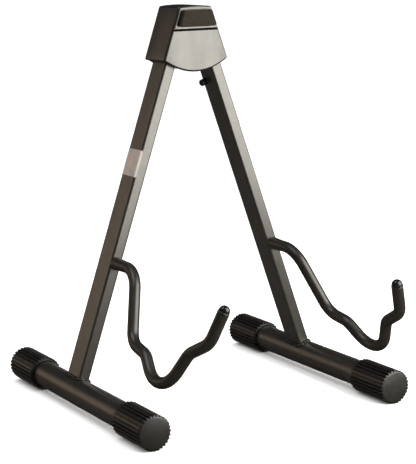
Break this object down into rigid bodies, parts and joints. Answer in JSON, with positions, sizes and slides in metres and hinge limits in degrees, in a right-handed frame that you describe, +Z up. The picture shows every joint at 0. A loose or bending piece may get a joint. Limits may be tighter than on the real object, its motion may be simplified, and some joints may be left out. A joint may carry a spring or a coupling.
{
  "type": "folding guitar stand",
  "caption": "Folding A-frame floor stand for a guitar: hinged legs on capped foot tubes, bent rubber-covered arms that cradle the body, and a padded head that it leans on.",
  "frame": {"origin": "on the floor under the middle of the bounding box, stand open", "axes": "+Z up, front of the stand faces -Y, its left leg is on -X"},
  "size_m": [0.32, 0.3742, 0.413],
  "materials": {
    "black_paint": "satin black powder coat",
    "black_plastic": "semi-gloss moulded black",
    "black_rubber": "matt black",
    "sleeve_rubber": "smooth satin black",
    "pad_foam": "dark brown-grey foam rubber",
    "zinc_steel": "zinc plated",
    "spring_steel": "bright drawn wire",
    "nylon": "matt dark grey",
    "label_film": "blank grey film"
  },
  "bodies": {
    "head": {"head_cover": "black_plastic", "head_back_plate": "black_plastic", "rest_pad": "pad_foam", "hinge_bracket": "zinc_steel", "stop_block": "nylon", "hub_screw": "zinc_steel", "back_plate_screw": "zinc_steel", "left_pivot_bolt": "zinc_steel", "left_pivot_nut": "zinc_steel", "left_front_washer": "nylon", "left_rear_washer": "nylon", "right_pivot_bolt": "zinc_steel", "right_pivot_nut": "zinc_steel", "right_front_washer": "nylon", "right_rear_washer": "nylon"},
    "left_leg": {"left_leg_tube": "black_paint", "left_foot_tube": "black_paint", "left_front_foot_cap": "black_rubber", "left_rear_foot_cap": "black_rubber", "left_arm_rod": "zinc_steel", "left_arm_sleeve": "sleeve_rubber", "left_arm_tip": "black_plastic", "left_pivot_sleeve": "nylon", "left_lock_spring": "spring_steel", "leg_label": "label_film"},
    "left_button": {"left_lock_button": "black_plastic"},
    "right_leg": {"right_leg_tube": "black_paint", "right_foot_tube": "black_paint", "right_front_foot_cap": "black_rubber", "right_rear_foot_cap": "black_rubber", "right_arm_rod": "zinc_steel", "right_arm_sleeve": "sleeve_rubber", "right_arm_tip": "black_plastic", "right_pivot_sleeve": "nylon", "right_lock_spring": "spring_steel"},
    "right_button": {"right_lock_button": "black_plastic"}
  },
  "joints": [
    {"name": "left_leg_fold", "type": "hinge", "parent": "head", "child": "left_leg", "pos_m": [-0.0201, 0.05613, 0.372], "axis": [0, -1, 0], "range_deg": [0, 19]},
    {"name": "right_leg_fold", "type": "hinge", "parent": "head", "child": "right_leg", "pos_m": [0.0201, 0.05613, 0.372], "axis": [0, 1, 0], "range_deg": [0, 19]},
    {"name": "left_button_press", "type": "slide", "parent": "left_leg", "child": "left_button", "axis": [-0.9455, 0, 0.3256], "range_m": [0, 0.003], "stiffness_N_per_m": 1200, "springref_m": -0.001, "deforming": ["left_lock_spring"]},
    {"name": "right_button_press", "type": "slide", "parent": "right_leg", "child": "right_button", "axis": [0.9455, 0, 0.3256], "range_m": [0, 0.003], "stiffness_N_per_m": 1200, "springref_m": -0.001, "deforming": ["right_lock_spring"]}
  ]
}
